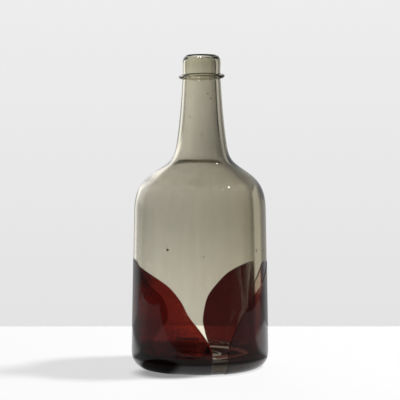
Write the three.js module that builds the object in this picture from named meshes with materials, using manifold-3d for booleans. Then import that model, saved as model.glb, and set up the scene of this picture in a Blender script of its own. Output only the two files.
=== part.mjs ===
import * as THREE from 'three';
import { mergeVertices } from 'three/addons/utils/BufferGeometryUtils.js';
import Module from 'manifold-3d';

// Blown glass bottle with two red glass petals let into the outside of its body.
// Millimetres and degrees. It stands on z = 0, its axis is +Z and its front faces -Y.
// An azimuth is counted from the front, towards +X.

// Foot and underside
const footRadius = 58;
const footRingWidth = 8;
const kickUp = 5;
const groundMarkRadius = 15;
const groundMarkDepth = 1;

// Body, from the heel up to the shoulder
const bodyRadius = 70;
const heelHeight = 15.5;
const heelRoundness = 2.1;
const wallHeight = 145.5;
const wallTopRadius = 67.3;
const shoulderHeight = 41.5;
const shoulderRadius = 43.7;
const shoulderSlope = 34;
const shoulderRound = 25;
const shoulderEase = 16.5;

// Neck and lip. A taper is the loss of radius for each millimetre of height.
const neckFootHeight = 31;
const neckFootRadius = 24.9;
const neckFootTaper = 0.14;
const neckSweep = 17.7;
const neckHeight = 62.6;
const neckTopRadius = 19.3;
const neckTopTaper = 0.06;
const lipHeight = 24;
const lipRadius = 19.3;
const lipRound = 6;
const lipCrestShare = 0.3;

// Glass thickness, and how far the blown hollow and the neck stand off the axis
const baseThickness = 12;
const floorCorner = 9;
const bodyWall = 7.3;
const shoulderWall = 7;
const neckFootWall = 5.6;
const neckTopWall = 4.4;
const bodyHollowShift = -3.7;
const neckHollowShift = -0.9;
const neckLean = 1.7;

// Thread of glass round the neck: how far it stands out, how much of that is its flat ends, and
// how far it dips towards -X
const ringBelowLip = 22;
const ringReach = 4.2;
const ringEndReach = 1.5;
const ringThickness = 4.2;
const ringTilt = 1.3;

// Petals: glass laid into the outside of the body. A point of an outline is an azimuth and a share
// of the height from the petal's foot to its top.
const petalThickness = 1.6;
const petalInnerRadius = 24;
const petalFootHeight = 9;
const petalTopHalfWidth = 2.5;
const leftPetalHeight = 111.5;
const leftPetalFront = [
  [10.5, 0], [9.8, 0.175], [2, 0.339], [-9.5, 0.516], [-16.5, 0.663], [-28, 0.803], [-46.6, 0.903],
  [-70, 0.976],
];
const leftPetalTop = [-91, 1];
const leftPetalBack = [
  [-106, 0.91], [-120, 0.765], [-135, 0.62], [-146, 0.533], [-152, 0.415], [-152.5, 0.283],
  [-146, 0.203], [-138, 0.107], [-132, 0],
];
const rightPetalHeight = 107.8;
const rightPetalFront = [
  [24, 0], [24, 0.152], [28, 0.315], [39.6, 0.537], [53, 0.705], [67, 0.815], [76, 0.9],
];
const rightPetalTop = [87, 1];
const rightPetalBack = [
  [99, 0.994], [112, 0.968], [127, 0.917], [139.5, 0.858], [150.7, 0.781], [162.5, 0.644],
  [170, 0.512], [173.9, 0.294], [172.6, 0.188], [168.5, 0],
];

// Square of clear film on the front
const labelSide = 23;
const labelAzimuth = -10.6;
const labelHeight = 29;
const labelThickness = 0.2;

// Room between two pieces that touch, and how far a pocket's cutter stands out of the glass
const seatClearance = 0.3;
const pocketOvercut = 4;

// Fineness of the facets. The steps are those of each stretch of a profile in turn.
const bodySegments = 56;
const outsideSteps = [1, 4, 1, 5, 4, 5, 5, 4, 3, 3];
const hollowSteps = [1, 3, 4, 5, 5, 4, 1, 3];
const ringSegments = 48;
const ringProfileSegments = 12;
const petalColumns = 19;
const petalFootRows = 10;
const petalRows = 15;
const petalRowCrowding = 1.5;
const petalOutlineSteps = 20;
const labelFacets = 6;

const smokeGlass = { color: 0xada997, roughness: 0.04, metalness: 0, transparent: true, opacity: 0.45 };
const redGlass = { color: 0x5a1a14, roughness: 0.05, metalness: 0, transparent: true, opacity: 0.9 };
const clearFilm = { color: 0xd8d6d0, roughness: 0.3, metalness: 0, transparent: true, opacity: 0.3 };

const wasm = await Module();
wasm.setup();

const radians = THREE.MathUtils.degToRad;

// Heights, each stacked on the one below
const wallTop = heelHeight + wallHeight;
const shoulderTop = wallTop + shoulderHeight;
const neckFoot = shoulderTop + neckFootHeight;
const neckTop = neckFoot + neckHeight;
const lipTop = neckTop + lipHeight;
const floorHeight = baseThickness;

// A neck that leans off the axis, eased in over the shoulder.
function leanAt(height) {
  return neckLean * THREE.MathUtils.smoothstep(height, wallTop, neckFoot);
}

// The hollow stands off the axis more in the body than in the neck.
function hollowShiftAt(height) {
  const share = THREE.MathUtils.smoothstep(height, wallTop, neckFoot);
  return THREE.MathUtils.lerp(bodyHollowShift, neckHollowShift, share);
}

// A point that is a given distance before or after another along a slope
function along(point, distance, rise) {
  return new THREE.Vector2(point.x - distance * Math.cos(rise), point.y + distance * Math.sin(rise));
}

function addBezier(path, from, leaving, arriving, to) {
  path.add(new THREE.CubicBezierCurve(from, leaving, arriving, to));
}

// Wall, shoulder and neck as one run. The outside and the hollow share it, each with its own
// radii and heights.
function addFlank(path, wallFrom, wallTo, shoulder, neckFrom, neckTo) {
  const slope = radians(shoulderSlope);
  const wallLean = (wallFrom.x - wallTo.x) / (wallTo.y - wallFrom.y);
  const third = (neckTo.y - neckFrom.y) / 3;
  path.add(new THREE.LineCurve(wallFrom, wallTo));
  addBezier(
    path,
    wallTo,
    new THREE.Vector2(wallTo.x - wallLean * shoulderRound, wallTo.y + shoulderRound),
    along(shoulder, -shoulderEase, slope),
    shoulder,
  );
  addBezier(
    path,
    shoulder,
    along(shoulder, neckSweep, slope),
    new THREE.Vector2(neckFrom.x + neckFootTaper * neckSweep, neckFrom.y - neckSweep),
    neckFrom,
  );
  addBezier(
    path,
    neckFrom,
    new THREE.Vector2(neckFrom.x - neckFootTaper * third, neckFrom.y + third),
    new THREE.Vector2(neckTo.x + neckTopTaper * third, neckTo.y - third),
    neckTo,
  );
}

// Quarter of a superellipse, from flat to upright
class HeelCurve extends THREE.Curve {
  getPoint(t, target = new THREE.Vector2()) {
    const angle = t * Math.PI / 2;
    const power = 2 / heelRoundness;
    const width = bodyRadius - footRadius;
    return target.set(
      footRadius + width * Math.pow(Math.sin(angle), power),
      heelHeight * (1 - Math.pow(Math.max(Math.cos(angle), 0), power)),
    );
  }
}

// Outside of the bottle in radius and height, from the ground mark to the crest of the lip
function outsidePath() {
  const path = new THREE.CurvePath();
  const footInner = footRadius - footRingWidth;
  const centre = new THREE.Vector2(0, kickUp + groundMarkDepth);
  const markEdge = new THREE.Vector2(groundMarkRadius, kickUp);
  const ringInner = new THREE.Vector2(footInner, 0);
  const reach = (footInner - groundMarkRadius) / 2;
  path.add(new THREE.LineCurve(centre, markEdge));
  addBezier(
    path,
    markEdge,
    new THREE.Vector2(groundMarkRadius + reach, kickUp),
    new THREE.Vector2(footInner - reach, 0),
    ringInner,
  );
  path.add(new THREE.LineCurve(ringInner, new THREE.Vector2(footRadius, 0)));
  path.add(new HeelCurve());
  addFlank(
    path,
    new THREE.Vector2(bodyRadius, heelHeight),
    new THREE.Vector2(wallTopRadius, wallTop),
    new THREE.Vector2(shoulderRadius, shoulderTop),
    new THREE.Vector2(neckFootRadius, neckFoot),
    new THREE.Vector2(neckTopRadius, neckTop),
  );
  const lipFoot = new THREE.Vector2(neckTopRadius, neckTop);
  const lipEdge = new THREE.Vector2(lipRadius, lipTop - lipRound);
  const crest = new THREE.Vector2(lipCrestRadius(), lipTop);
  const bulge = lipHeight / 3;
  addBezier(
    path,
    lipFoot,
    new THREE.Vector2(neckTopRadius - neckTopTaper * bulge, neckTop + bulge),
    new THREE.Vector2(lipRadius, lipTop - lipRound - bulge / 2),
    lipEdge,
  );
  addBezier(
    path,
    lipEdge,
    new THREE.Vector2(lipRadius, lipTop - lipRound / 2),
    new THREE.Vector2((lipRadius + lipCrestRadius()) / 2, lipTop),
    crest,
  );
  return path;
}

function lipCrestRadius() {
  return THREE.MathUtils.lerp(neckTopRadius - neckTopWall, lipRadius, lipCrestShare);
}

// The blown hollow in radius and height, from the crest of the lip down to the floor
function hollowPath() {
  const path = new THREE.CurvePath();
  const wallFoot = bodyRadius - bodyWall;
  path.add(new THREE.LineCurve(
    new THREE.Vector2(0, floorHeight),
    new THREE.Vector2(wallFoot - floorCorner, floorHeight),
  ));
  addBezier(
    path,
    new THREE.Vector2(wallFoot - floorCorner, floorHeight),
    new THREE.Vector2(wallFoot - floorCorner / 2, floorHeight),
    new THREE.Vector2(wallFoot, floorHeight + floorCorner / 2),
    new THREE.Vector2(wallFoot, floorHeight + floorCorner),
  );
  const slope = radians(shoulderSlope);
  addFlank(
    path,
    new THREE.Vector2(wallFoot, floorHeight + floorCorner),
    new THREE.Vector2(wallTopRadius - bodyWall, wallTop),
    new THREE.Vector2(
      shoulderRadius - shoulderWall * Math.sin(slope),
      shoulderTop - shoulderWall * Math.cos(slope),
    ),
    new THREE.Vector2(neckFootRadius - neckFootWall, neckFoot),
    new THREE.Vector2(neckTopRadius - neckTopWall, neckTop),
  );
  const bore = neckTopRadius - neckTopWall;
  const throat = new THREE.Vector2(bore, neckTop);
  const flare = new THREE.Vector2(bore, lipTop - lipRound);
  path.add(new THREE.LineCurve(throat, flare));
  addBezier(
    path,
    flare,
    new THREE.Vector2(bore, lipTop - lipRound / 2),
    new THREE.Vector2((bore + lipCrestRadius()) / 2, lipTop),
    new THREE.Vector2(lipCrestRadius(), lipTop),
  );
  return path;
}

const outside = outsidePath();
const outsideLength = outside.getLength();

// Points along a path, with as many to each stretch as its bend needs
function profilePoints(path, counts) {
  const points = [];
  path.curves.forEach((curve, index) => {
    const steps = counts[index];
    for (let step = points.length ? 1 : 0; step <= steps; step += 1) {
      points.push(curve.getPointAt(step / steps));
    }
  });
  return points;
}

function toSolid(geometry) {
  const bare = geometry.clone();
  bare.deleteAttribute('normal');
  bare.deleteAttribute('uv');
  const merged = mergeVertices(bare, 1e-4);
  return new wasm.Manifold(new wasm.Mesh({
    numProp: 3,
    vertProperties: new Float32Array(merged.attributes.position.array),
    triVerts: new Uint32Array(merged.index.array),
  }));
}

function toGeometry(solid) {
  const mesh = solid.getMesh();
  const geometry = new THREE.BufferGeometry();
  geometry.setAttribute('position', new THREE.BufferAttribute(new Float32Array(mesh.vertProperties), 3));
  geometry.setIndex(new THREE.BufferAttribute(new Uint32Array(mesh.triVerts), 1));
  geometry.computeVertexNormals();
  return geometry;
}

// One revolved profile, outside and hollow together, with the neck leant and the hollow moved
// off the axis point by point.
function blownVessel() {
  const outer = profilePoints(outside, outsideSteps);
  const inner = profilePoints(hollowPath(), hollowSteps).reverse();
  const profile = outer.concat(inner.slice(1));
  const geometry = new THREE.LatheGeometry(profile, bodySegments);
  geometry.rotateX(Math.PI / 2);
  const position = geometry.attributes.position;
  const crest = outer.length - 1;
  for (let index = 0; index < position.count; index += 1) {
    const row = index % profile.length;
    const height = position.getZ(index);
    const hollow = row > crest ? hollowShiftAt(height) : 0;
    const shift = row === crest ? hollowShiftAt(height) / 2 : hollow;
    position.setX(index, position.getX(index) + leanAt(height) + shift);
  }
  return toSolid(geometry);
}

// A point in or near the outside surface: how far round, how far up the outside path, and how
// deep below the surface
function surfacePoint(azimuth, distance, depth) {
  const share = THREE.MathUtils.clamp(distance / outsideLength, 0, 1);
  const point = outside.getPoint(share);
  const tangent = outside.getTangent(share);
  const radius = point.x - tangent.y * depth;
  const height = point.y + tangent.x * depth;
  const angle = radians(azimuth);
  return new THREE.Vector3(
    radius * Math.sin(angle) + leanAt(height),
    -radius * Math.cos(angle),
    height,
  );
}

// How far along the outside path a measure, such as height or radius, first reaches a value
function distanceWhere(measure, value) {
  let low = outside.getCurveLengths()[1];
  let high = outsideLength;
  if (measure === 'x') {
    low = 0;
    high = outside.getCurveLengths()[2];
  }
  for (let turn = 0; turn < 40; turn += 1) {
    const middle = (low + high) / 2;
    if (outside.getPoint(middle / outsideLength)[measure] < value) {
      low = middle;
    } else {
      high = middle;
    }
  }
  return (low + high) / 2;
}

// Closed skin over a grid of rows, each row being [azimuth, distance] from its left to its right
function skinSolid(rows, columns, depth, proud) {
  const vertices = [];
  const triangles = [];
  const rowCount = rows.length;
  const width = columns + 1;
  const layer = rowCount * width;
  [-proud, depth].forEach((level) => {
    rows.forEach(([left, right]) => {
      for (let column = 0; column < width; column += 1) {
        const share = column / columns;
        const azimuth = THREE.MathUtils.lerp(left[0], right[0], share);
        const distance = THREE.MathUtils.lerp(left[1], right[1], share);
        vertices.push(...surfacePoint(azimuth, distance, level).toArray());
      }
    });
  });
  const quad = (a, b, c, d) => triangles.push(a, b, c, a, c, d);
  const at = (row, column) => row * width + column;
  for (let row = 0; row < rowCount - 1; row += 1) {
    for (let column = 0; column < columns; column += 1) {
      const a = at(row, column);
      const b = at(row, column + 1);
      const c = at(row + 1, column + 1);
      const d = at(row + 1, column);
      quad(a, b, c, d);
      quad(layer + d, layer + c, layer + b, layer + a);
    }
    const leftLow = at(row, 0);
    const leftHigh = at(row + 1, 0);
    const rightLow = at(row, columns);
    const rightHigh = at(row + 1, columns);
    quad(leftHigh, layer + leftHigh, layer + leftLow, leftLow);
    quad(rightLow, layer + rightLow, layer + rightHigh, rightHigh);
  }
  for (let column = 0; column < columns; column += 1) {
    const low = at(0, column);
    const high = at(rowCount - 1, column);
    quad(low, layer + low, layer + low + 1, low + 1);
    quad(high + 1, layer + high + 1, layer + high, high);
  }
  const geometry = new THREE.BufferGeometry();
  geometry.setAttribute('position', new THREE.Float32BufferAttribute(vertices, 3));
  geometry.setIndex(triangles);
  return toSolid(geometry);
}

// Rows of a petal from its end under the base to its round top. The outline is one smooth curve
// on the unrolled wall, each row joins its front edge to its back edge, and grow moves it outwards
// all round.
function petalRowsFor(petal, grow) {
  const arc = radians(bodyRadius);
  const points = [...petal.front, petal.top, ...petal.back].map(([azimuth, share]) => {
    const height = THREE.MathUtils.lerp(petalFootHeight, petal.height, share);
    return new THREE.Vector2(azimuth * arc, distanceWhere('y', height));
  });
  const outline = new THREE.SplineCurve(points);
  outline.arcLengthDivisions = petalOutlineSteps * (points.length - 1);
  const total = outline.getLength();
  const toTop = outline.getLengths()[petalOutlineSteps * petal.front.length];
  const turn = Math.sign(points[points.length - 1].x - points[0].x);
  const edge = (distance) => {
    const point = outline.getPointAt(distance / total);
    const tangent = outline.getTangentAt(distance / total);
    return [
      (point.x - turn * tangent.y * grow) / arc,
      point.y + turn * tangent.x * grow,
    ];
  };
  const pair = (share) => {
    const ends = [edge(toTop * share), edge(total - (total - toTop) * share)];
    return ends.sort((one, other) => one[0] - other[0]);
  };
  const rows = [];
  const footStart = distanceWhere('x', petalInnerRadius) - grow;
  const footEnd = distanceWhere('y', petalFootHeight);
  const [footLeft, footRight] = pair(0);
  for (let row = 0; row < petalFootRows; row += 1) {
    const distance = THREE.MathUtils.lerp(footStart, footEnd, row / petalFootRows);
    rows.push([[footLeft[0], distance], [footRight[0], distance]]);
  }
  const lastShare = 1 - 2 * petalTopHalfWidth / total;
  for (let row = 0; row <= petalRows; row += 1) {
    rows.push(pair(lastShare * (1 - Math.pow(1 - row / petalRows, petalRowCrowding))));
  }
  return rows;
}

function petalSolid(petal, grow, depth, proud) {
  return skinSolid(petalRowsFor(petal, grow), petalColumns, depth, proud);
}

// The ring lies round the neck with a flat inner side and flat ends, and its outer side is half
// an ellipse.
function ringGeometry() {
  const middle = lipTop - ringBelowLip;
  const neckRadius = outside.getPoint(distanceWhere('y', middle) / outsideLength).x;
  const seat = neckRadius + seatClearance;
  const profile = [new THREE.Vector2(seat, -ringThickness / 2)];
  for (let step = 0; step <= ringProfileSegments; step += 1) {
    const angle = Math.PI * (step / ringProfileSegments - 0.5);
    profile.push(new THREE.Vector2(
      seat + THREE.MathUtils.lerp(ringEndReach, ringReach, Math.cos(angle)),
      ringThickness / 2 * Math.sin(angle),
    ));
  }
  profile.push(new THREE.Vector2(seat, ringThickness / 2));
  profile.push(profile[0].clone());
  const geometry = new THREE.LatheGeometry(profile, ringSegments);
  geometry.rotateX(Math.PI / 2);
  geometry.rotateY(-radians(ringTilt));
  geometry.translate(leanAt(middle), 0, middle);
  return geometry;
}

function labelSolid() {
  const halfAngle = labelSide / 2 / radians(bodyRadius);
  const left = labelAzimuth - halfAngle;
  const right = labelAzimuth + halfAngle;
  const low = distanceWhere('y', labelHeight - labelSide / 2);
  const high = distanceWhere('y', labelHeight + labelSide / 2);
  const rows = [low, (low + high) / 2, high].map((distance) => [[left, distance], [right, distance]]);
  return skinSolid(rows, labelFacets, -seatClearance, seatClearance + labelThickness);
}

function addPiece(group, name, geometry, finish) {
  const mesh = new THREE.Mesh(geometry, new THREE.MeshStandardMaterial(finish));
  mesh.name = name;
  group.add(mesh);
}

const leftPetal = {
  front: leftPetalFront,
  top: leftPetalTop,
  back: leftPetalBack,
  height: leftPetalHeight,
};
const rightPetal = {
  front: rightPetalFront,
  top: rightPetalTop,
  back: rightPetalBack,
  height: rightPetalHeight,
};
const pocketDepth = petalThickness + seatClearance;

let body = blownVessel();
[leftPetal, rightPetal].forEach((petal) => {
  body = body.subtract(petalSolid(petal, seatClearance, pocketDepth, pocketOvercut));
});

const bottle = new THREE.Group();
addPiece(bottle, 'bottle_body', toGeometry(body), smokeGlass);
addPiece(bottle, 'neck_ring', toGeometry(toSolid(ringGeometry())), smokeGlass);
addPiece(bottle, 'petal_left', toGeometry(petalSolid(leftPetal, 0, petalThickness, 0)), redGlass);
addPiece(bottle, 'petal_right', toGeometry(petalSolid(rightPetal, 0, petalThickness, 0)), redGlass);
addPiece(bottle, 'clear_label', toGeometry(labelSolid()), clearFilm);

export default bottle;
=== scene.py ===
import math

import bmesh
import bpy
import numpy as np
from mathutils import Matrix, Vector


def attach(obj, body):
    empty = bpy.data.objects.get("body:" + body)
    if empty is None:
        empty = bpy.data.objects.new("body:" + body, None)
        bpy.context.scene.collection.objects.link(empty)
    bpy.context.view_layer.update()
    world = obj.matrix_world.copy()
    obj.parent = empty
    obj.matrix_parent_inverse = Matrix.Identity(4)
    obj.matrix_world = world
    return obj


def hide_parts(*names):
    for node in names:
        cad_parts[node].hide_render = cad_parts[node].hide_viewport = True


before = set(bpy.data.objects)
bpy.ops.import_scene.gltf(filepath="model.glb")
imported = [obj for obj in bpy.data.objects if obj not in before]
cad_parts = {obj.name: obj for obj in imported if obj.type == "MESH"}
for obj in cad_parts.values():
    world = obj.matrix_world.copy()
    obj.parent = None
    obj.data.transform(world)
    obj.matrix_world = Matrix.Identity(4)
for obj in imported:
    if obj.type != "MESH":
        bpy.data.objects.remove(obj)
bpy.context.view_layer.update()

# Bottle body: one gather of smoke-grey glass, free blown and tooled hot into a body, a long
# neck and a fire-polished lip. The wall is thick, and the blown hollow sits a little to the
# left in it, so the right wall is the thicker one.
MM = 0.001
FOOT_RADIUS = 58
FOOT_RING_WIDTH = 8
KICK_UP = 5
GROUND_MARK_RADIUS = 15
GROUND_MARK_DEPTH = 1
BODY_RADIUS = 70
HEEL_HEIGHT = 15.5
HEEL_ROUNDNESS = 2.1
WALL_TOP = 161
WALL_TOP_RADIUS = 67.3
SHOULDER_TOP = 202.5
SHOULDER_RADIUS = 43.7
SHOULDER_SLOPE = math.radians(34)
SHOULDER_ROUND = 25
SHOULDER_EASE = 16.5
NECK_FOOT = 233.5
NECK_FOOT_RADIUS = 24.9
NECK_FOOT_TAPER = 0.14
NECK_SWEEP = 17.7
NECK_TOP = 296.1
NECK_TOP_RADIUS = 19.3
NECK_TOP_TAPER = 0.06
LIP_TOP = 320.1
LIP_RADIUS = 19.3
LIP_ROUND = 7.2
LIP_CREST_SHARE = 0.12
FLOOR_HEIGHT = 12
FLOOR_CORNER = 9
BODY_WALL = 7.3
SHOULDER_WALL = 7
NECK_FOOT_WALL = 5.6
NECK_TOP_WALL = 4.4
BODY_HOLLOW_SHIFT = -3.7
NECK_HOLLOW_SHIFT = -0.9
NECK_LEAN = 1.7
PETALS_BELOW = 116
BODY_STEPS = 300
GROUND_MARK_STEPS = 4
KICK_STEPS = 14
FOOT_STEPS = 2
HEEL_STEPS = 16
OUTER_FLANK_STEPS = (88, 8, 22, 20, 24)
INNER_FLANK_STEPS = (6, 2, 20, 18, 12)
LIP_BULGE_STEPS = 16
LIP_STEPS = 8
BORE_STEPS = 2
FLOOR_STEPS = 10
SAME_SPOT = 0.00001


def smooth_step(value, low, high):
    share = min(max((value - low) / (high - low), 0), 1)
    return share * share * (3 - 2 * share)


def lean_at(height):
    return NECK_LEAN * smooth_step(height, WALL_TOP, NECK_FOOT)


def hollow_shift_at(height):
    share = smooth_step(height, WALL_TOP, NECK_FOOT)
    return BODY_HOLLOW_SHIFT + (NECK_HOLLOW_SHIFT - BODY_HOLLOW_SHIFT) * share


def line(start, end, steps):
    return [Vector(start).lerp(Vector(end), step / steps) for step in range(1, steps + 1)]


def bend(start, leaving, arriving, end, steps):
    points = []
    for step in range(1, steps + 1):
        t = step / steps
        s = 1 - t
        points.append(
            Vector(start) * s**3
            + Vector(leaving) * 3 * s * s * t
            + Vector(arriving) * 3 * s * t * t
            + Vector(end) * t**3
        )
    return points


def flank(wall_from, wall_to, shoulder, neck_from, neck_to, steps):
    run = Vector((math.cos(SHOULDER_SLOPE), -math.sin(SHOULDER_SLOPE)))
    wall_lean = (wall_from[0] - wall_to[0]) / (wall_to[1] - wall_from[1])
    third = (neck_to[1] - neck_from[1]) / 3
    above_wall = (wall_to[0] - wall_lean * SHOULDER_ROUND, wall_to[1] + SHOULDER_ROUND)
    below_neck = (neck_from[0] + NECK_FOOT_TAPER * NECK_SWEEP, neck_from[1] - NECK_SWEEP)
    neck_low = (neck_from[0] - NECK_FOOT_TAPER * third, neck_from[1] + third)
    neck_high = (neck_to[0] + NECK_TOP_TAPER * third, neck_to[1] - third)
    before_shoulder = Vector(shoulder) + run * SHOULDER_EASE
    past_shoulder = Vector(shoulder) - run * NECK_SWEEP
    petals_end = Vector(wall_from).lerp(
        Vector(wall_to), (PETALS_BELOW - wall_from[1]) / (wall_to[1] - wall_from[1])
    )
    return (
        line(wall_from, petals_end, steps[0])
        + line(petals_end, wall_to, steps[1])
        + bend(wall_to, above_wall, before_shoulder, shoulder, steps[2])
        + bend(shoulder, past_shoulder, below_neck, neck_from, steps[3])
        + bend(neck_from, neck_low, neck_high, neck_to, steps[4])
    )


BORE = NECK_TOP_RADIUS - NECK_TOP_WALL
CREST_RADIUS = BORE + (LIP_RADIUS - BORE) * LIP_CREST_SHARE


def outside_profile():
    inner = FOOT_RADIUS - FOOT_RING_WIDTH
    reach = (inner - GROUND_MARK_RADIUS) / 2
    bulge = (LIP_TOP - NECK_TOP) / 3
    lip_edge = (LIP_RADIUS, LIP_TOP - LIP_ROUND)
    points = [Vector((0, KICK_UP + GROUND_MARK_DEPTH))]
    points += line(points[0], (GROUND_MARK_RADIUS, KICK_UP), GROUND_MARK_STEPS)
    points += bend(
        (GROUND_MARK_RADIUS, KICK_UP),
        (GROUND_MARK_RADIUS + reach, KICK_UP),
        (inner - reach, 0),
        (inner, 0),
        KICK_STEPS,
    )
    points += line((inner, 0), (FOOT_RADIUS, 0), FOOT_STEPS)
    power = 2 / HEEL_ROUNDNESS
    for step in range(1, HEEL_STEPS + 1):
        angle = step / HEEL_STEPS * math.pi / 2
        points.append(Vector((
            FOOT_RADIUS + (BODY_RADIUS - FOOT_RADIUS) * math.sin(angle) ** power,
            HEEL_HEIGHT * (1 - max(math.cos(angle), 0) ** power),
        )))
    points += flank(
        (BODY_RADIUS, HEEL_HEIGHT),
        (WALL_TOP_RADIUS, WALL_TOP),
        (SHOULDER_RADIUS, SHOULDER_TOP),
        (NECK_FOOT_RADIUS, NECK_FOOT),
        (NECK_TOP_RADIUS, NECK_TOP),
        OUTER_FLANK_STEPS,
    )
    points += bend(
        (NECK_TOP_RADIUS, NECK_TOP),
        (NECK_TOP_RADIUS - NECK_TOP_TAPER * bulge, NECK_TOP + bulge),
        (LIP_RADIUS, LIP_TOP - LIP_ROUND - bulge / 2),
        lip_edge,
        LIP_BULGE_STEPS,
    )
    points += bend(
        lip_edge,
        (LIP_RADIUS, LIP_TOP - LIP_ROUND / 2),
        ((LIP_RADIUS + CREST_RADIUS) / 2, LIP_TOP),
        (CREST_RADIUS, LIP_TOP),
        LIP_STEPS,
    )
    return points


def hollow_profile():
    foot = BODY_RADIUS - BODY_WALL
    points = [Vector((0, FLOOR_HEIGHT))]
    points += line(points[0], (foot - FLOOR_CORNER, FLOOR_HEIGHT), FLOOR_STEPS)
    points += bend(
        (foot - FLOOR_CORNER, FLOOR_HEIGHT),
        (foot - FLOOR_CORNER / 2, FLOOR_HEIGHT),
        (foot, FLOOR_HEIGHT + FLOOR_CORNER / 2),
        (foot, FLOOR_HEIGHT + FLOOR_CORNER),
        FLOOR_STEPS,
    )
    points += flank(
        (foot, FLOOR_HEIGHT + FLOOR_CORNER),
        (WALL_TOP_RADIUS - BODY_WALL, WALL_TOP),
        (
            SHOULDER_RADIUS - SHOULDER_WALL * math.sin(SHOULDER_SLOPE),
            SHOULDER_TOP - SHOULDER_WALL * math.cos(SHOULDER_SLOPE),
        ),
        (NECK_FOOT_RADIUS - NECK_FOOT_WALL, NECK_FOOT),
        (BORE, NECK_TOP),
        INNER_FLANK_STEPS,
    )
    points += line((BORE, NECK_TOP), (BORE, LIP_TOP - LIP_ROUND), BORE_STEPS)
    points += bend(
        (BORE, LIP_TOP - LIP_ROUND),
        (BORE, LIP_TOP - LIP_ROUND / 2),
        ((BORE + CREST_RADIUS) / 2, LIP_TOP),
        (CREST_RADIUS, LIP_TOP),
        LIP_STEPS,
    )
    return points


def revolve(mesh, points, steps, closed=False):
    verts = [mesh.verts.new((point[0] * MM, 0, point[1] * MM)) for point in points]
    pairs = list(zip(verts, verts[1:]))
    if closed:
        pairs.append((verts[-1], verts[0]))
    edges = [mesh.edges.new(pair) for pair in pairs]
    bmesh.ops.spin(
        mesh,
        geom=verts + edges,
        cent=(0, 0, 0),
        axis=(0, 0, 1),
        angle=math.tau,
        steps=steps,
        use_merge=True,
    )
    bmesh.ops.remove_doubles(mesh, verts=mesh.verts[:], dist=SAME_SPOT)
    bmesh.ops.recalc_face_normals(mesh, faces=mesh.faces[:])


def to_piece(mesh, name, material, slot, *nodes):
    for face in mesh.faces:
        face.smooth = True
    data = bpy.data.meshes.new(name)
    mesh.to_mesh(data)
    mesh.free()
    data.materials.append(material)
    piece = bpy.data.objects.new(name, data)
    bpy.context.scene.collection.objects.link(piece)
    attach(piece, "root")
    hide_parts(*nodes)
    piece.visible_diffuse = False
    return piece


def linear(code):
    parts = [int(code[place:place + 2], 16) / 255 for place in (1, 3, 5)]
    return [
        part / 12.92 if part <= 0.04045 else ((part + 0.055) / 1.055) ** 2.4
        for part in parts
    ] + [1]


def add_node(tree, kind, inputs=None, **settings):
    node = tree.nodes.new(kind)
    for name, value in settings.items():
        setattr(node, name, value)
    for key, value in (inputs or {}).items():
        if isinstance(value, bpy.types.NodeSocket):
            tree.links.new(value, node.inputs[key])
        else:
            node.inputs[key].default_value = value
    return node


def new_material(name):
    material = bpy.data.materials.new(name)
    material.use_nodes = True
    tree = material.node_tree
    tree.nodes.clear()
    return material, tree


def colour_by(tree, measure, stops):
    shade = add_node(tree, "ShaderNodeValToRGB", {0: measure})
    elements = shade.color_ramp.elements
    for index, (position, colour) in enumerate(stops):
        element = elements[index] if index < 2 else elements.new(position)
        element.position = position
        element.color = colour
    return shade.outputs["Color"]


def attribute(tree, name):
    return add_node(tree, "ShaderNodeAttribute", attribute_name=name).outputs["Fac"]


# Soda-lime glass tinted smoke grey. It gives the eye a warm grey that deepens up to the shoulder
# and where more glass lies in the line of sight, with the clean gloss of a fire polish and the
# faint upright cords of hand-gathered glass. Above the shoulder its tint is painted lighter on the
# left of the neck and darker on its right, as painted light and shade, and the seeds are tinted
# near black as painted shade. Light bends at its faces by the index of refraction, but not where
# another glass is fused to it.
GLASS_IOR = 1.5
FUSED_IOR = 1.0
SMOKE_DEPTH_COLOUR = "#C2B99C"
SMOKE_DENSITY = 61
SMOKE_BY_HEIGHT = [
    (60, "#FFFDF8"),
    (92, "#FAF8F1"),
    (120, "#F1F0E9"),
    (155, "#E6E5DE"),
    (188, "#E9E7E0"),
    (212, "#DDDBD4"),
    (240, "#E3E2DA"),
    (264, "#E9E7DF"),
    (300, "#E9E7DB"),
    (314, "#DEDDCE"),
]
# Painted light and shade on the neck: its tint is lighter to the left and darker to the right, from
# these heights up.
NECK_SHADE_FROM = 195
NECK_SHADE_TO = 225
NECK_SIDE_SHADE = 14.5
CORD_WIDTH = 9
CORD_LENGTH = 110
CORD_DEPTH = 0.03
CORD_RANGE = (0.3, 0.7)
# Painted shade: how near black the seeds' faces are tinted.
SEED_PAINTED_SHADE = 0.92


def glass_of(tree, colour, ior, density=None):
    glass = add_node(tree, "ShaderNodeBsdfPrincipled", {
        "Base Color": colour,
        "Roughness": 0.0,
        "IOR": ior,
        "Transmission Weight": 1.0,
    })
    output = {"Surface": glass.outputs["BSDF"]}
    if density:
        depth = add_node(tree, "ShaderNodeVolumeAbsorption", {
            "Color": linear(SMOKE_DEPTH_COLOUR),
            "Density": density,
        })
        output["Volume"] = depth.outputs["Volume"]
    add_node(tree, "ShaderNodeOutputMaterial", output)


def ior_where_bare(tree):
    return add_node(tree, "ShaderNodeMapRange", {
        "Value": attribute(tree, "fused"),
        "To Min": GLASS_IOR,
        "To Max": FUSED_IOR,
    }).outputs["Result"]


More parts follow.
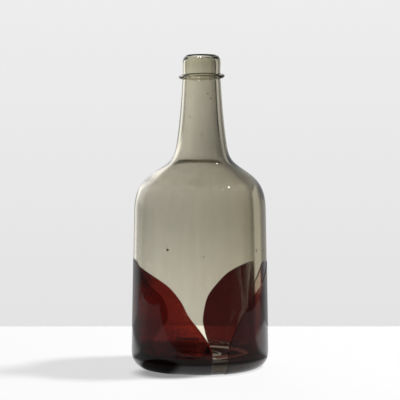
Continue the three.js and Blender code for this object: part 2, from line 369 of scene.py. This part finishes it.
def smoke_glass():
    material, tree = new_material("smoke_soda_lime_glass_fire_polished")
    place = add_node(tree, "ShaderNodeTexCoord")
    spot = add_node(tree, "ShaderNodeSeparateXYZ", {0: place.outputs["Object"]})
    rise = add_node(tree, "ShaderNodeMapRange", {
        "Value": spot.outputs["Z"],
        "From Max": LIP_TOP * MM,
    })
    shade = colour_by(tree, rise.outputs["Result"], [
        (height / LIP_TOP, linear(code)) for height, code in SMOKE_BY_HEIGHT
    ])
    # Painted light and shade: the tint grows lighter left of the neck and darker right of it.
    shade_across_neck = add_node(tree, "ShaderNodeMapRange", {
        "Value": spot.outputs["Z"],
        "From Min": NECK_SHADE_FROM * MM,
        "From Max": NECK_SHADE_TO * MM,
        "To Max": -NECK_SIDE_SHADE,
    })
    drawn = add_node(tree, "ShaderNodeVectorMath", {
        0: place.outputs["Object"],
        1: (1, 1, CORD_WIDTH / CORD_LENGTH),
    }, operation="MULTIPLY")
    cords = add_node(tree, "ShaderNodeTexNoise", {
        "Vector": drawn.outputs[0],
        "Scale": 1 / (CORD_WIDTH * MM),
        "Detail": 2,
    })
    cord = add_node(tree, "ShaderNodeMapRange", {
        "Value": cords.outputs["Fac"],
        "From Min": CORD_RANGE[0],
        "From Max": CORD_RANGE[1],
        "To Min": 1 - CORD_DEPTH,
        "To Max": 1 + CORD_DEPTH,
    })
    # Painted shade: the seeds' faces take a near-black tint.
    at_seed = add_node(tree, "ShaderNodeMath", {
        0: attribute(tree, "seed"),
        1: -SEED_PAINTED_SHADE,
        2: cord.outputs["Result"],
    }, operation="MULTIPLY_ADD")
    sideways = add_node(tree, "ShaderNodeMath", {
        0: spot.outputs["X"],
        1: shade_across_neck.outputs["Result"],
        2: at_seed.outputs[0],
    }, operation="MULTIPLY_ADD")
    tint = add_node(tree, "ShaderNodeVectorMath", {
        0: shade,
        "Scale": sideways.outputs[0],
    }, operation="SCALE")
    glass_of(tree, tint.outputs[0], ior_where_bare(tree), SMOKE_DENSITY)
    return material


A_HAIR = 0.01
ABOVE_KICK = KICK_UP + 3
THINNEST_WALL = 2
SMOKE = smoke_glass()
OUTSIDE = outside_profile()
HOLLOW = hollow_profile()

vessel = bmesh.new()
revolve(vessel, OUTSIDE + HOLLOW[-2::-1], BODY_STEPS)
outer_radii = [(point[1], point[0]) for point in OUTSIDE if point[1] > ABOVE_KICK]


def outer_radius(height):
    for low, high in zip(outer_radii, outer_radii[1:]):
        if low[0] <= height <= high[0] and high[0] > low[0]:
            share = (height - low[0]) / (high[0] - low[0])
            return low[1] + (high[1] - low[1]) * share
    return outer_radii[-1][1]


for vert in vessel.verts:
    height = vert.co.z / MM
    radius = math.hypot(vert.co.x, vert.co.y) / MM
    inside = height > FLOOR_HEIGHT - A_HAIR and radius < outer_radius(height) - THINNEST_WALL
    vert.co.x += (lean_at(height) + (hollow_shift_at(height) if inside else 0)) * MM

# Seeds: small air bubbles caught in the wall. Their faces point into the air, as the wall's do,
# and an attribute marks them, so that the glass tints them near black: painted shade for the dark
# specks that they show.
SEED_DEPTH = 1.8
SEED_FACETS = (12, 8)
SEED_SPOTS = [
    (-29.4, 128.4, 1.3),
    (72.2, 122.3, 1.1),
    (3.4, 122.6, 0.8),
    (18.4, 282.9, 0.8),
    (28.6, 277.8, 0.8),
    (-0.7, 241.8, 0.75),
    (-35.6, 258.9, 0.7),
]
seed = vessel.verts.layers.float.new("seed")
for azimuth, height, radius in SEED_SPOTS:
    angle = math.radians(azimuth)
    reach = outer_radius(height) - SEED_DEPTH
    spot = Vector((reach * math.sin(angle) + lean_at(height), -reach * math.cos(angle), height))
    bubble = bmesh.ops.create_uvsphere(
        vessel,
        u_segments=SEED_FACETS[0],
        v_segments=SEED_FACETS[1],
        radius=radius * MM,
        matrix=Matrix.Translation(spot * MM),
    )
    for vert in bubble["verts"]:
        vert[seed] = 1
    faces = {face for vert in bubble["verts"] for face in vert.link_faces}
    bmesh.ops.reverse_faces(vessel, faces=list(faces))

body = to_piece(vessel, "blown_body", SMOKE, "smoke_glass", "bottle_body")

# Neck ring: a thread of the same glass laid hot round the neck under the lip. It is drawn out
# thin, stands proud all round and dips a little towards the left.
RING_BELOW_LIP = 21.4
RING_REACH = 4.2
RING_THICKNESS = 4.2
RING_TILT = math.radians(1.3)
RING_SEAT = 0.05
RING_BLUNTNESS = 0.75
# Painted shade: the thread's density is raised to darken it.
RING_DENSITY = 140
RING_TINT = "#FDFDFA"
RING_STEPS = 128
RING_FACE_STEPS = 24
RING_SEAT_STEPS = 8
RING_ARC_SHARE = 0.9999  # just short of a half round, past which the cosine is negative


# The same soda-lime glass, drawn out while soft. So thin a thread gives the eye hardly any
# colour of its own, so it is drawn denser than the body as painted shade: the dark line that the
# photo shows.
def ring_glass():
    material, tree = new_material("smoke_soda_lime_glass_thread")
    glass_of(tree, linear(RING_TINT), ior_where_bare(tree), RING_DENSITY)
    return material


ring = bmesh.new()
ring_height = LIP_TOP - RING_BELOW_LIP
seat = outer_radius(ring_height) + RING_SEAT
ring_points = []
for step in range(RING_FACE_STEPS + 1):
    angle = math.pi * (step / RING_FACE_STEPS - 0.5) * RING_ARC_SHARE
    ring_points.append((
        seat + RING_REACH * math.cos(angle) ** RING_BLUNTNESS,
        RING_THICKNESS / 2 * math.sin(angle),
    ))
for step in range(1, RING_SEAT_STEPS):
    ring_points.append((seat, RING_THICKNESS * (0.5 - step / RING_SEAT_STEPS)))
revolve(ring, ring_points, RING_STEPS, closed=True)
ring_fused = ring.verts.layers.float.new("fused")
for vert in ring.verts:
    vert[ring_fused] = math.hypot(vert.co.x, vert.co.y) < (seat + 2 * RING_SEAT) * MM
bmesh.ops.rotate(ring, verts=ring.verts[:], matrix=Matrix.Rotation(-RING_TILT, 3, "Y"))
bmesh.ops.translate(
    ring,
    verts=ring.verts[:],
    vec=(lean_at(ring_height) * MM, 0, ring_height * MM),
)
to_piece(ring, "trailed_ring", ring_glass(), "smoke_glass", "neck_ring")

# Petals: two pieces of dark red glass taken up on the outside of the hot body and marvered in
# flush. Each wraps from under the base up to a round top, and the two leave narrow gaps of
# bare grey glass in front and behind.
PETAL_SKIN = 0.4
PETAL_SEAT = 0.04
PETAL_INNER_RADIUS = 24
PETAL_FOOT_HEIGHT = 9
PETAL_COLUMNS = 128
PETAL_FOOT_ROWS = 26
PETAL_WALL_ROWS = 56
PETAL_ROW_EASE = 1.6
PETAL_TOP_SHARE = 0.998
OUTLINE_STEPS = 12
LEFT_HEIGHT = 111.5
LEFT_FRONT = [
    (10.5, 0), (9.8, 0.175), (2, 0.339), (-9.5, 0.516), (-16.5, 0.663), (-28, 0.803),
    (-46.6, 0.903), (-70, 0.976),
]
LEFT_TOP = (-91, 1)
LEFT_BACK = [
    (-106, 0.91), (-120, 0.765), (-135, 0.62), (-146, 0.533), (-152, 0.415), (-152.5, 0.283),
    (-146, 0.203), (-138, 0.107), (-132, 0),
]
RIGHT_HEIGHT = 107.8
RIGHT_FRONT = [
    (24, 0), (24, 0.152), (28, 0.315), (39.6, 0.537), (53, 0.705), (67, 0.815), (76, 0.9),
]
RIGHT_TOP = (87, 1)
RIGHT_BACK = [
    (99, 0.994), (112, 0.968), (127, 0.917), (139.5, 0.858), (150.7, 0.781), (162.5, 0.644),
    (170, 0.512), (173.9, 0.294), (172.6, 0.188), (168.5, 0),
]
ARC = math.radians(BODY_RADIUS)


def run_lengths(points):
    lengths = [0]
    for low, high in zip(points, points[1:]):
        lengths.append(lengths[-1] + (high - low).length)
    return lengths


OUTSIDE_RUN = run_lengths(OUTSIDE)


def at_distance(points, lengths, distance):
    for index in range(1, len(points)):
        if lengths[index] >= distance or index == len(points) - 1:
            span = lengths[index] - lengths[index - 1]
            share = (distance - lengths[index - 1]) / span
            return points[index - 1].lerp(points[index], share), points[index] - points[index - 1]


def distance_at_height(height):
    for index in range(1, len(OUTSIDE)):
        low = OUTSIDE[index - 1]
        high = OUTSIDE[index]
        if low[0] >= FOOT_RADIUS - A_HAIR and low[1] <= height <= high[1]:
            share = (height - low[1]) / (high[1] - low[1])
            return OUTSIDE_RUN[index - 1] + share * (high - low).length


def distance_at_radius(radius):
    for index in range(1, len(OUTSIDE)):
        low = OUTSIDE[index - 1]
        high = OUTSIDE[index]
        if low[0] <= radius <= high[0]:
            share = (radius - low[0]) / (high[0] - low[0])
            return OUTSIDE_RUN[index - 1] + share * (high - low).length


def catmull_rom(points, steps):
    padded = [points[0] * 2 - points[1]] + points + [points[-1] * 2 - points[-2]]
    path = [points[0]]
    for a, b, c, d in zip(padded, padded[1:], padded[2:], padded[3:]):
        for step in range(1, steps + 1):
            t = step / steps
            path.append(0.5 * (
                b * 2
                + (c - a) * t
                + (a * 2 - b * 5 + c * 4 - d) * t * t
                + (b * 3 - a - c * 3 + d) * t * t * t
            ))
    return path


def on_surface(azimuth, distance, lift):
    point, run = at_distance(OUTSIDE, OUTSIDE_RUN, distance)
    run = run.normalized()
    radius = point[0] + run[1] * lift
    height = point[1] - run[0] * lift
    angle = math.radians(azimuth)
    return Vector((
        radius * math.sin(angle) + lean_at(height),
        -radius * math.cos(angle),
        height,
    )) * MM


def wrap_skin(rows, columns, low_lift, high_lift):
    skin = bmesh.new()
    bmesh.ops.create_grid(skin, x_segments=columns, y_segments=len(rows) - 1, size=1)
    flat = [vert.co.copy() for vert in skin.verts]
    for vert, spot in zip(skin.verts, flat):
        column = (spot.x + 1) / 2
        row = round((spot.y + 1) / 2 * (len(rows) - 1))
        left, right = rows[row]
        azimuth = left[0] + (right[0] - left[0]) * column
        distance = left[1] + (right[1] - left[1]) * column
        vert.co = on_surface(azimuth, distance, high_lift)
    bmesh.ops.recalc_face_normals(skin, faces=skin.faces[:])
    middle = skin.faces[len(skin.faces) // 2]
    outward = middle.calc_center_median()
    if middle.normal.dot(Vector((outward.x, outward.y, 0))) < 0:
        bmesh.ops.reverse_faces(skin, faces=skin.faces[:])
    bmesh.ops.solidify(skin, geom=skin.faces[:], thickness=(high_lift - low_lift) * MM)
    bmesh.ops.recalc_face_normals(skin, faces=skin.faces[:])
    return skin


def petal_rows(front, top, back, height):
    points = []
    for azimuth, share in front + [top] + back:
        rise = PETAL_FOOT_HEIGHT + (height - PETAL_FOOT_HEIGHT) * share
        points.append(Vector((azimuth * ARC, distance_at_height(rise))))
    outline = catmull_rom(points, OUTLINE_STEPS)
    lengths = run_lengths(outline)
    total = lengths[-1]
    to_top = lengths[OUTLINE_STEPS * len(front)]
    start = distance_at_radius(PETAL_INNER_RADIUS)
    rows = []

    def pair(share):
        one = at_distance(outline, lengths, to_top * share)[0]
        other = at_distance(outline, lengths, total - (total - to_top) * share)[0]
        return sorted([(one[0] / ARC, one[1]), (other[0] / ARC, other[1])])

    foot = pair(0)
    end = foot[0][1]
    for row in range(PETAL_FOOT_ROWS):
        distance = start + (end - start) * row / PETAL_FOOT_ROWS
        rows.append([(foot[0][0], distance), (foot[1][0], distance)])
    for row in range(PETAL_WALL_ROWS + 1):
        rows.append(pair(PETAL_TOP_SHARE * (1 - (1 - row / PETAL_WALL_ROWS) ** PETAL_ROW_EASE)))
    return rows


# Copper-ruby glass, dark red. It gives the eye near black where two layers cross and a
# glowing red where the light comes straight through one thin layer. The layer is unevenly
# thick: each line after the colours says how much its depth changes, and between which
# azimuths, heights or both.
RUBY_BY_DEPTH = [
    (0, "#E6D4CD"),
    (0.2, "#BC817C"),
    (0.5, "#7C2721"),
    (0.75, "#651F1B"),
    (1, "#4D1B1B"),
]
LEFT_THIN = 0.2
LEFT_SIDE = (0.38, (-120, -95))
LEFT_FRONT_THINNER = (0.12, (-35, -5))
LEFT_TOP_EDGE = (0.42, (84, 94), (-50, -38))
LEFT_LOW = (0.45, (44, 60), (-100, -60))
LEFT_LOW_THINNER = (0.2, (-20, 0))
RIGHT_THIN = 0.32
RIGHT_SIDE = (0.68, (75, 88))
RIGHT_TOP_CLEAR = ((74, 84), (80, 86))


def ruby_glass():
    material, tree = new_material("dark_ruby_overlay_glass_marvered")
    shade = colour_by(tree, attribute(tree, "overlay_depth"), [
        (depth, linear(code)) for depth, code in RUBY_BY_DEPTH
    ])
    glass_of(tree, shade, ior_where_bare(tree))
    return material


def left_depth(azimuth, height):
    more, turn = LEFT_SIDE
    less, front = LEFT_FRONT_THINNER
    upper = LEFT_THIN + more * smooth_step(azimuth, *turn) - less * smooth_step(azimuth, *front)
    more, above, before = LEFT_TOP_EDGE
    top = more * smooth_step(height, *above) * (1 - smooth_step(azimuth, *before))
    more, below, turn = LEFT_LOW
    less, front = LEFT_LOW_THINNER
    lower = more - less * smooth_step(azimuth, *front)
    lower *= (1 - smooth_step(height, *below)) * smooth_step(azimuth, *turn)
    return upper + top + lower


def right_depth(azimuth, height):
    more, turn = RIGHT_SIDE
    above, before = RIGHT_TOP_CLEAR
    clear = smooth_step(height, *above) * (1 - smooth_step(azimuth, *before))
    return (RIGHT_THIN + more * smooth_step(azimuth, *turn)) * (1 - clear)


# A petal is fused to the body, so no light is bent or mirrored where the two meet: not on the
# petal's inner face, nor on the body under it.
FUSED_MARGIN = 0.8
body_spots = np.array([vert.co for vert in body.data.vertices]) / MM
body_height = body_spots[:, 2]
body_x = body_spots[:, 0] - np.array([lean_at(height) for height in body_height])
body_radius = np.hypot(body_x, body_spots[:, 1])
body_azimuth = np.degrees(np.arctan2(body_x, -body_spots[:, 1]))
foot_edge = OUTSIDE.index(next(point for point in OUTSIDE if point[0] >= FOOT_RADIUS))
under_foot = np.array([point[0] for point in OUTSIDE[:foot_edge + 1]])
up_wall = np.array([point[1] for point in OUTSIDE[foot_edge:]])
body_distance = np.where(
    (body_height < KICK_UP + GROUND_MARK_DEPTH) & (body_radius < FOOT_RADIUS),
    np.interp(body_radius, under_foot, OUTSIDE_RUN[:foot_edge + 1]),
    np.interp(body_height, up_wall, OUTSIDE_RUN[foot_edge:]),
)
wall_radius = np.interp(body_height, up_wall, [point[0] for point in OUTSIDE[foot_edge:]])
is_below_floor = body_height < FLOOR_HEIGHT - A_HAIR
is_outside = is_below_floor | (body_radius > wall_radius - THINNEST_WALL / 2)


def is_fused(rows):
    covered = is_outside.copy()
    for distance in (body_distance, body_distance + FUSED_MARGIN):
        left = np.interp(distance, [row[0][1] for row in rows], [row[0][0] for row in rows])
        right = np.interp(distance, [row[1][1] for row in rows], [row[1][0] for row in rows])
        covered &= (body_azimuth > left + FUSED_MARGIN / ARC)
        covered &= (body_azimuth < right - FUSED_MARGIN / ARC)
        covered &= (distance > rows[0][0][1]) & (distance < rows[-1][0][1])
    return covered


RUBY = ruby_glass()
ring_line = ring_height + body_x * math.tan(RING_TILT)
body_fused = (np.abs(body_height - ring_line) < RING_THICKNESS / 2) & is_outside
left_rows = petal_rows(LEFT_FRONT, LEFT_TOP, LEFT_BACK, LEFT_HEIGHT)
right_rows = petal_rows(RIGHT_FRONT, RIGHT_TOP, RIGHT_BACK, RIGHT_HEIGHT)
for name, rows, depth_at, node in (
    ("left_petal", left_rows, left_depth, "petal_left"),
    ("right_petal", right_rows, right_depth, "petal_right"),
):
    body_fused |= is_fused(rows)
    skin = wrap_skin(rows, PETAL_COLUMNS, PETAL_SEAT, PETAL_SKIN)
    overlay = skin.verts.layers.float.new("overlay_depth")
    fused = skin.verts.layers.float.new("fused")
    for vert in skin.verts:
        azimuth = math.degrees(math.atan2(vert.co.x, -vert.co.y))
        vert[overlay] = depth_at(azimuth, vert.co.z / MM)
        vert[fused] = vert.index >= len(skin.verts) // 2
    to_piece(skin, name, RUBY, "red_glass", node)
fused_spots = body.data.attributes.new("fused", "FLOAT", "POINT")
fused_spots.data.foreach_set("value", body_fused.astype(float))

# Blank film: a square of clear plastic stuck low on the front, too thin to show but for its
# outline.
FILM_SIDE = 23
FILM_AZIMUTH = -10.6
FILM_HEIGHT = 29
FILM_LIFT = PETAL_SKIN + 0.03
FILM_THICKNESS = 0.1
FILM_TINT = "#ECECEC"
FILM_IOR = 1.06
FILM_STEPS = 8
FILM_COLUMNS = 12


# Cast polypropylene, smooth and clear. It is so thin that it bends no light to speak of, and
# gives the eye only a slightly dimmer square.
def film_plastic():
    material, tree = new_material("clear_polypropylene_film")
    glass_of(tree, linear(FILM_TINT), FILM_IOR)
    return material


half = FILM_SIDE / 2 / ARC
film_rows = []
for row in range(FILM_STEPS + 1):
    distance = distance_at_height(FILM_HEIGHT + FILM_SIDE * (row / FILM_STEPS - 0.5))
    film_rows.append([(FILM_AZIMUTH - half, distance), (FILM_AZIMUTH + half, distance)])
film = wrap_skin(film_rows, FILM_COLUMNS, FILM_LIFT, FILM_LIFT + FILM_THICKNESS)
to_piece(film, "blank_film", film_plastic(), "clear_film", "clear_label")

# Room: a white table whose far edge shows behind the bottle, and round it a pale room with dark
# flags to both sides, as a photographer sets for glass. The table has a second level just below
# the first, so that light leaving the foot meets it, and the glass sees it as a glow.
TABLE_LEFT = -0.58
TABLE_RIGHT = 0.52
TABLE_FRONT = -0.22
TABLE_BACK = 0.244
TABLE_WHITE = "#FAFAFA"
TABLE_GLOW = 1.5
TABLE_SKIN = 0.002
ROOM_PALE = 0.847
ROOM_LOW = 0.77
ROOM_FILL = 0.76

table = bmesh.new()
for level in (0, -TABLE_SKIN):
    table.faces.new([table.verts.new(corner) for corner in (
        (TABLE_LEFT, TABLE_FRONT, level),
        (TABLE_RIGHT, TABLE_FRONT, level),
        (TABLE_RIGHT, TABLE_BACK, level),
        (TABLE_LEFT, TABLE_BACK, level),
    )])
table_data = bpy.data.meshes.new("table_top")
table.to_mesh(table_data)
table.free()

# Matt white laminate. It gives the eye white with no mirror image, but with a painted shadow by
# the foot's front left. To the glass it gives a painted glow instead, whose strength depends on
# where and how its light meets the table: painted shade dims it in front, close round the bottle,
# under the foot and by the left heel.
table_material, tree = new_material("matt_white_table")
ray = add_node(tree, "ShaderNodeLightPath")
place = add_node(tree, "ShaderNodeTexCoord")
spot = add_node(tree, "ShaderNodeSeparateXYZ", {0: place.outputs["Object"]})


def mirrored_before():
    return add_node(tree, "ShaderNodeMath", {
        0: ray.outputs["Glossy Depth"],
        1: 1,
    }, operation="MINIMUM").outputs[0]


def eased(measure, near, far, low, high):
    return add_node(tree, "ShaderNodeMapRange", {
        "Value": measure,
        "From Min": near,
        "From Max": far,
        "To Min": low,
        "To Max": high,
    }, interpolation_type="SMOOTHSTEP").outputs["Result"]


def clear_of(centre, near, far, low, high):
    away = add_node(tree, "ShaderNodeVectorMath", {
        0: place.outputs["Object"],
        1: (*centre, 0),
    }, operation="DISTANCE")
    return eased(away.outputs["Value"], near, far, low, high)


def inwards(front, back, low, high):
    return eased(spot.outputs["Y"], front, back, low, high)


def times(one, other):
    return add_node(tree, "ShaderNodeMath", {0: one, 1: other}, operation="MULTIPLY").outputs[0]


def larger(one, other):
    return add_node(tree, "ShaderNodeMath", {0: one, 1: other}, operation="MAXIMUM").outputs[0]


def either(share, one, other):
    return add_node(tree, "ShaderNodeMix", {0: share, 2: one, 3: other}).outputs[0]


# Painted light and shade, seen by the glass only: the glow below, and the masks that dim it.
through_glass = ray.outputs["Is Transmission Ray"]
bounced = mirrored_before()
inside = times(
    inwards(front=-0.03, back=0.18, low=0.35, high=1.0),
    clear_of(centre=(-0.03, 0), near=0.075, far=0.16, low=0.3, high=0.75),
)
on_face = times(
    inwards(front=0.0, back=0.06, low=0.0, high=0.9),
    clear_of(centre=(0.06, 0.1), near=0.21, far=0.28, low=1.0, high=0.35),
)
on_face = larger(on_face, clear_of(centre=(0, 0), near=0.078, far=0.092, low=0.95, high=0.25))
shadow_by_left_heel = clear_of(centre=(-0.065, -0.06), near=0.03, far=0.047, low=0.08, high=1.0)
under_foot = clear_of(centre=(0, 0), near=0.058, far=0.062, low=0.08, high=1.0)
on_face = times(times(on_face, shadow_by_left_heel), under_foot)
straight = clear_of(centre=(0, 0), near=0.066, far=0.122, low=0.38, high=TABLE_GLOW)
glow = either(
    bounced,
    times(through_glass, straight),
    either(through_glass, on_face, inside),
)
# Painted shadow: the table's white is darkened by the foot's front left.
shadow_painted_by_foot = add_node(tree, "ShaderNodeVectorMath", {
    0: linear(TABLE_WHITE)[:3],
    "Scale": clear_of(centre=(-0.03, -0.045), near=0.022, far=0.046, low=0.4, high=1.0),
}, operation="SCALE")
paint = add_node(tree, "ShaderNodeBsdfDiffuse", {"Color": shadow_painted_by_foot.outputs[0]})
bare = add_node(tree, "ShaderNodeEmission", {"Strength": 0})
surface = add_node(tree, "ShaderNodeMixShader", {
    0: larger(bounced, through_glass),
    1: paint.outputs[0],
    2: bare.outputs[0],
})
shine = add_node(tree, "ShaderNodeEmission", {"Strength": glow})
both = add_node(tree, "ShaderNodeAddShader", {0: surface.outputs[0], 1: shine.outputs[0]})
add_node(tree, "ShaderNodeOutputMaterial", {"Surface": both.outputs[0]})
table_data.materials.append(table_material)
table_top = bpy.data.objects.new("table_top", table_data)
bpy.context.scene.collection.objects.link(table_top)

# What the glass sees of the room, as stops of (degrees off the line of sight, brightness):
# straight through it, by way of a mirroring inside it, and mirrored on its face, the last two
# each with their own stops above the horizon. The bands after them are the rise of a line of
# sight, as a share of its length.
SEEN_THROUGH = [
    (-90, 0.78), (-84, 0.7), (-78, 0.06), (-54, 0.08), (-46, 0.9), (-36, 0.6), (-20, 0.7),
    (-8, 0.78), (0, 0.8), (6, 0.84), (13, 0.93), (20, 0.75), (32, 0.65), (42, 1.15), (48, 1.0),
    (54, 0.08), (78, 0.06), (84, 0.7), (90, 0.78),
]
BENT_BACK = [
    (-90, 0.05), (-60, 0.06), (-48, 0.5), (-40, 0.9), (-32, 1.3), (-26, 1.6), (-20, 1.5),
    (-10, 0.8), (0, 0.6), (5, 0.4), (18, 0.5), (24, 0.8), (30, 1.2), (36, 1.1), (47, 1.0),
    (54, 0.08), (90, 0.05),
]
BENT_UP = [
    (-90, 0.3), (-70, 0.6), (-56, 1.2), (-20, 1.5), (-3, 1.5), (4, 0.6), (12, 0.4), (24, 0.46),
    (90, 0.2),
]
MIRRORED = [
    (-100, 0.05), (-60, 0.09), (-44, 0.5), (-26, 0.5), (0, 0.3), (28, 0.5), (60, 0.09),
    (100, 0.05),
]
MIRRORED_UP = [
    (-100, 0.05), (-62, 0.2), (-46, 0.9), (-28, 1.4), (-6, 1.4), (4, 0.5), (28, 0.45),
    (60, 0.09), (100, 0.05),
]
HORIZON = (-0.05, 0.04)
CEILING = (0.35, 0.55)
CEILING_DIM = (0.12, 0.12, 0.12, 1)
WALL_FADES = (-0.164, -0.082)

world = bpy.data.worlds.new("soft_room")
bpy.context.scene.world = world
world.use_nodes = True
tree = world.node_tree
tree.nodes.clear()
way = add_node(tree, "ShaderNodeTexCoord")
axes = add_node(tree, "ShaderNodeSeparateXYZ", {0: way.outputs["Generated"]})
across = axes.outputs["X"]
ahead = axes.outputs["Y"]
up = axes.outputs["Z"]
either_way = add_node(tree, "ShaderNodeMath", {0: ahead}, operation="ABSOLUTE")


def angle_from(forward):
    return add_node(tree, "ShaderNodeMath", {0: across, 1: forward}, operation="ARCTAN2").outputs[0]


def brightness_round(angle, stops):
    share = add_node(tree, "ShaderNodeMapRange", {
        "Value": angle,
        "From Min": -math.pi,
        "From Max": math.pi,
    })
    return colour_by(tree, share.outputs["Result"], [
        (degrees / 360 + 0.5, (bright, bright, bright, 1)) for degrees, bright in stops
    ])


def rising(band, low=0, high=1):
    return add_node(tree, "ShaderNodeMapRange", {
        "Value": up,
        "From Min": band[0],
        "From Max": band[1],
        "To Min": low,
        "To Max": high,
    }).outputs["Result"]


def blend(share, one, other):
    mix = add_node(tree, "ShaderNodeMix", {0: share, 6: one, 7: other}, data_type="RGBA")
    return mix.outputs[2]


off_axis = angle_from(either_way.outputs[0])
off_line = angle_from(ahead)
upwards = rising(HORIZON)
ceiling = rising(CEILING)
through = blend(ceiling, brightness_round(off_axis, SEEN_THROUGH), CEILING_DIM)
bent = blend(upwards, brightness_round(off_line, BENT_BACK), brightness_round(off_line, BENT_UP))
mirrored_up = brightness_round(off_line, MIRRORED_UP)
mirrored = blend(upwards, brightness_round(off_line, MIRRORED), mirrored_up)
mirrored = blend(ceiling, mirrored, CEILING_DIM)
ray = add_node(tree, "ShaderNodeLightPath")
seen = blend(mirrored_before(), through, bent)
seen = blend(ray.outputs["Is Transmission Ray"], mirrored, seen)
seen = blend(ray.outputs["Is Diffuse Ray"], seen, (ROOM_FILL, ROOM_FILL, ROOM_FILL, 1))
seen = blend(ray.outputs["Is Camera Ray"], seen, rising(WALL_FADES, ROOM_LOW, ROOM_PALE))
sky = add_node(tree, "ShaderNodeBackground", {"Color": seen})
add_node(tree, "ShaderNodeOutputWorld", {"Surface": sky.outputs[0]})

# Lamps: one lights the table from the right and throws the shadow to the left, and three
# small ones make the sparkles on lip and shoulder.
LAMPS_AIM = (0, 0, 0.25)
KEY_AIM = (0, 0, 0.1)
KEY_PLACE = (2.6, 0.5, 4.2)
KEY_SIDE = 0.7
KEY_POWER = 77
SPARKLES = [
    ("lip_sparkle_right", (0.65, 1.5, 2.25), 0.15, 0.8, 25),
    ("lip_sparkle_left", (-0.2, 1.3, 2.5), 0.15, 0.8, 25),
    ("body_sparkle", (1.3, 0.0, 2.1), 0.1, 0.1, 4),
]


def area_lamp(name, place, aim, width, height, power):
    data = bpy.data.lights.new(name, "AREA")
    data.shape = "RECTANGLE"
    data.size = width
    data.size_y = height
    data.energy = power
    lamp = bpy.data.objects.new(name, data)
    bpy.context.scene.collection.objects.link(lamp)
    lamp.location = place
    lamp.rotation_euler = (Vector(aim) - Vector(place)).to_track_quat("-Z", "Y").to_euler()
    return lamp


key = area_lamp("key_right", KEY_PLACE, KEY_AIM, KEY_SIDE, KEY_SIDE, KEY_POWER)
key.visible_glossy = False
key.visible_transmission = False
for name, place, width, height, power in SPARKLES:
    sparkle = area_lamp(name, place, LAMPS_AIM, width, height, power)
    sparkle.visible_diffuse = False

# Camera: 4 m off and 0.7 m up, the photograph's own distance and height, looking a little down.
CAMERA_DISTANCE = 4.0
CAMERA_HEIGHT = 0.704
AIM_HEIGHT = 0.1715
FRAME_PIXELS = 400
FOCAL_PIXELS = 3943
SIGHT_END = 20

camera_data = bpy.data.cameras.new("camera")
camera_data.lens = FOCAL_PIXELS / FRAME_PIXELS * camera_data.sensor_width
camera = bpy.data.objects.new("camera", camera_data)
bpy.context.scene.collection.objects.link(camera)
camera.location = (0, -CAMERA_DISTANCE, CAMERA_HEIGHT)
sight = Vector((0, 0, AIM_HEIGHT)) - camera.location
camera.rotation_euler = sight.to_track_quat("-Z", "Y").to_euler()
camera_data.clip_end = SIGHT_END
bpy.context.scene.camera = camera
bpy.context.scene.view_settings.view_transform = "Standard"
